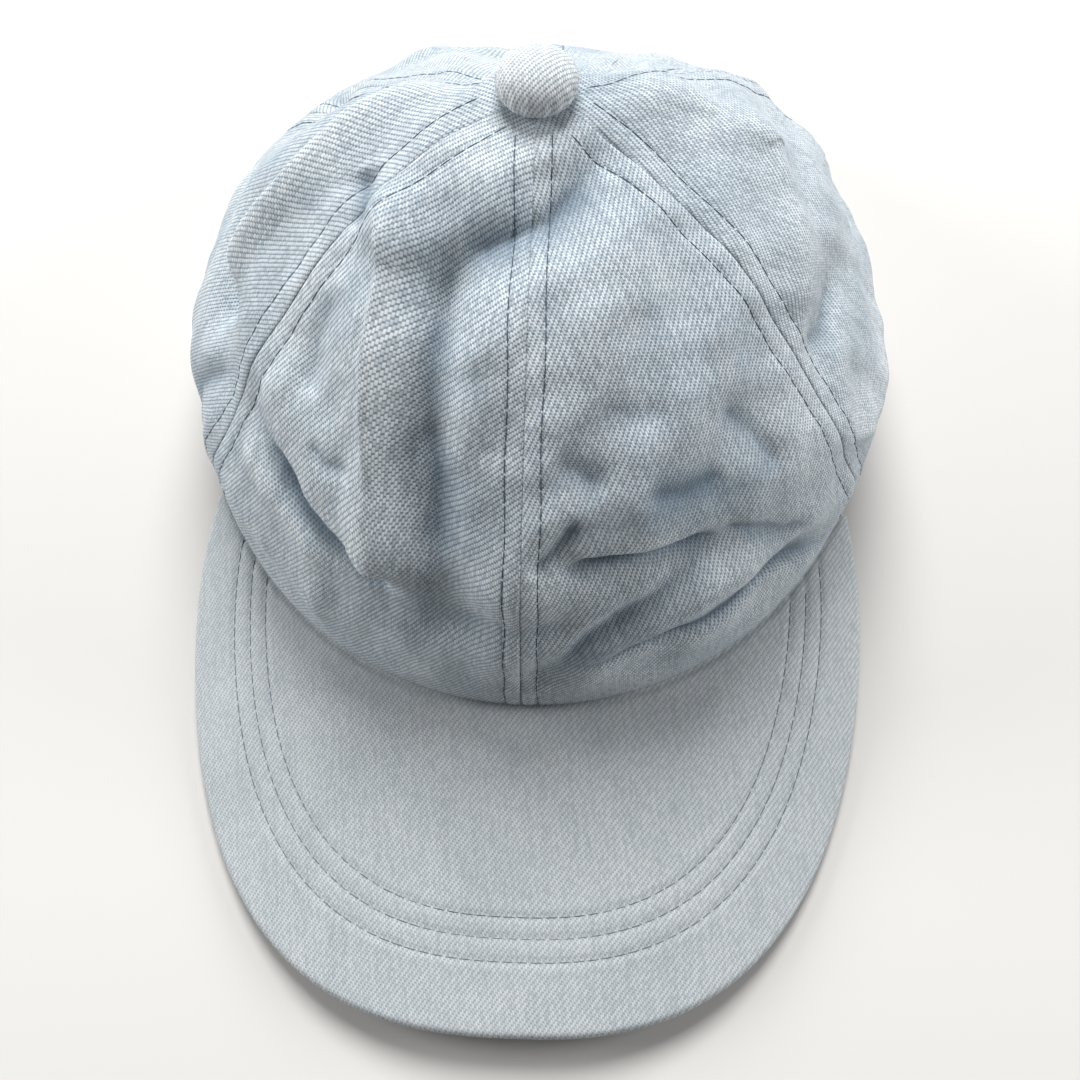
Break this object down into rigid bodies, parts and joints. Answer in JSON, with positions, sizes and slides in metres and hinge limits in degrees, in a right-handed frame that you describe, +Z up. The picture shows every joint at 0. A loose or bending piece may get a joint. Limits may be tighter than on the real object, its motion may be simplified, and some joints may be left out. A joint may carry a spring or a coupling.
{
  "type": "baseball cap",
  "caption": "Soft unstructured cloth baseball cap with a curved stitched visor, a covered top button and a buckled strap across the arched rear opening.",
  "frame": {"origin": "under the button, in the head opening, on the surface that the cap stands on", "axes": "+Z up, -Y to the front along the visor, +X to the wearer's left"},
  "size_m": [0.1746, 0.2609, 0.1224],
  "materials": {
    "crown_denim": "washed cotton twill",
    "visor_denim": "washed fine cotton twill",
    "button_denim": "washed cotton twill",
    "tape": "plain cotton tape",
    "sweatband": "washed cotton twill",
    "strap_denim": "washed cotton twill",
    "board": "moulded polyethylene",
    "button_metal": "drawn, bare",
    "buckle_brass": "antiqued"
  },
  "bodies": {
    "crown": {"front_left_panel": "crown_denim", "front_right_panel": "crown_denim", "side_left_panel": "crown_denim", "side_right_panel": "crown_denim", "rear_left_panel": "crown_denim", "rear_right_panel": "crown_denim", "front_seam_tape": "tape", "front_left_seam_tape": "tape", "front_right_seam_tape": "tape", "rear_left_seam_tape": "tape", "rear_right_seam_tape": "tape", "rear_seam_tape": "tape", "sweatband": "sweatband", "opening_binding": "tape", "visor_top_cover": "visor_denim", "visor_board": "board", "visor_bottom_cover": "visor_denim", "button_cover": "button_denim", "button_cup": "button_metal", "button_tack": "button_metal", "buckle_loop": "strap_denim", "buckle_frame": "buckle_brass", "buckle_pin": "buckle_brass"},
    "strap": {"strap": "strap_denim"},
    "lever": {"buckle_lever": "buckle_brass"}
  },
  "joints": [
    {"name": "strap_slide", "type": "hinge", "parent": "crown", "child": "strap", "pos_m": [0, 0.0085, 0.0125], "axis": [0, 0, 1], "range_deg": [-14, 14]},
    {"name": "lever_hinge", "type": "hinge", "parent": "crown", "child": "lever", "pos_m": [0.02103, 0.09183, 0.0125], "axis": [0, 0, 1], "range_deg": [0, 110]}
  ]
}
